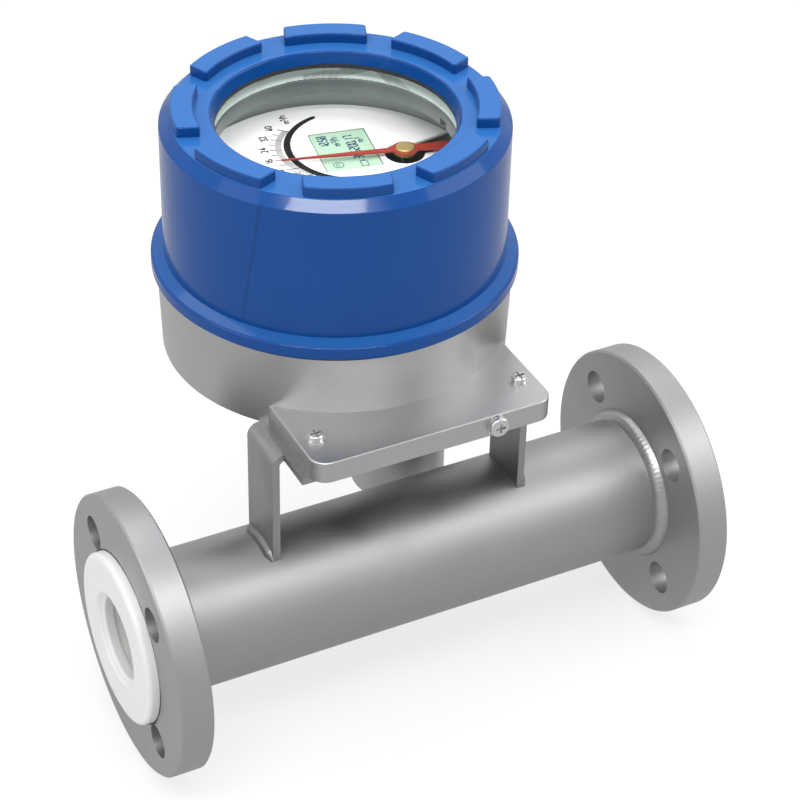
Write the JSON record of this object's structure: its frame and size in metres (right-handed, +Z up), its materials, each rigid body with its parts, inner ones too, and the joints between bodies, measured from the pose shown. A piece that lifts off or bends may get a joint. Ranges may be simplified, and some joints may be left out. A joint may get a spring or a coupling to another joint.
{
  "type": "metal tube rotameter",
  "caption": "Flanged, lined metal tube flow meter with a sliding magnetic float, and a round blue indicator head with a window, dial, pointer and display on a bracket beside the tube.",
  "frame": {"origin": "centre of the outlet flange's metal face, on the pipe axis, 4.5 mm behind the sealing face of the lining's lip", "axes": "+X along the pipe from the outlet flange to the inlet flange, +Z up out of the indicator window, +Y from the pipe towards the indicator head"},
  "size_m": [0.25, 0.2079, 0.2393],
  "materials": {
    "steel": "satin, brushed round the tube",
    "turned_steel": "fine turned",
    "weld_steel": "matt weld bead",
    "fastener_steel": "bright",
    "lining_white": "waxy moulded fluoropolymer",
    "float_white": "waxy",
    "blue_paint": "glossy blue enamel",
    "base_metal": "satin",
    "window": "clear, greenish edge",
    "black_rubber": "matt",
    "black_plastic": "matt",
    "gland_metal": "nickel plated",
    "brass": "turned",
    "red_paint": "matt red",
    "dial_white": "matt white print",
    "board_green": "solder resist",
    "display_green": "pale green display",
    "magnet_grey": "sintered",
    "bearing_metal": "turned",
    "ring_grey": "satin grey"
  },
  "bodies": {
    "meter": {"measuring_tube": "steel", "outlet_flange": "turned_steel", "inlet_flange": "turned_steel", "outlet_flange_weld": "weld_steel", "inlet_flange_weld": "weld_steel", "lining": "lining_white", "outlet_guide": "lining_white", "inlet_guide": "lining_white", "bracket": "steel", "bracket_weld_outlet": "weld_steel", "bracket_weld_inlet": "weld_steel", "housing_base": "base_metal", "lug_screws": "fastener_steel", "lug_washers": "fastener_steel", "lug_nuts": "fastener_steel", "earth_screw": "fastener_steel", "earth_washer": "fastener_steel", "gland_body": "gland_metal", "gland_nut": "gland_metal", "gland_seal": "black_rubber", "deck_posts": "fastener_steel", "dial_posts": "fastener_steel", "movement_deck": "ring_grey", "board_posts": "fastener_steel", "circuit_board": "board_green", "display_module": "display_green", "terminal_block": "black_plastic", "dial": "dial_white", "lower_bearing": "bearing_metal", "upper_bearing": "bearing_metal"},
    "float": {"float_body": "float_white", "float_cap": "float_white", "float_stem": "turned_steel", "float_magnet": "magnet_grey"},
    "pointer_train": {"arbor": "turned_steel", "follower_magnet": "magnet_grey", "magnet_carrier": "ring_grey", "pointer_hub": "brass", "pointer": "red_paint"},
    "seal_ring": {"cover_seal": "black_rubber"},
    "cover_set": {"cover": "blue_paint", "window_gasket": "black_rubber", "window_glass": "window", "retaining_ring": "ring_grey"}
  },
  "joints": [
    {"name": "float_slide", "type": "slide", "parent": "meter", "child": "float", "axis": [-1, 0, 0], "range_m": [-0.0115, 0.025]},
    {"name": "pointer_turn", "type": "hinge", "parent": "meter", "child": "pointer_train", "pos_m": [0.1503, 0.0629, 0], "axis": [0, 0, 1], "range_deg": [-30.1, 13.9]},
    {"name": "cover_lift", "type": "slide", "parent": "meter", "child": "seal_ring", "axis": [0, 0, 1], "range_m": [0, 0.0141]},
    {"name": "cover_turn", "type": "hinge", "parent": "seal_ring", "child": "cover_set", "pos_m": [0.1168, 0.0564, 0.1128], "axis": [0, 0, 1], "range_deg": [0, 2520]}
  ],
  "couplings": [
    {"joint": "pointer_turn", "follows": "float_slide", "rad_per_m": -20.944},
    {"joint": "cover_lift", "follows": "cover_turn", "m_per_rad": 0.00031831}
  ]
}
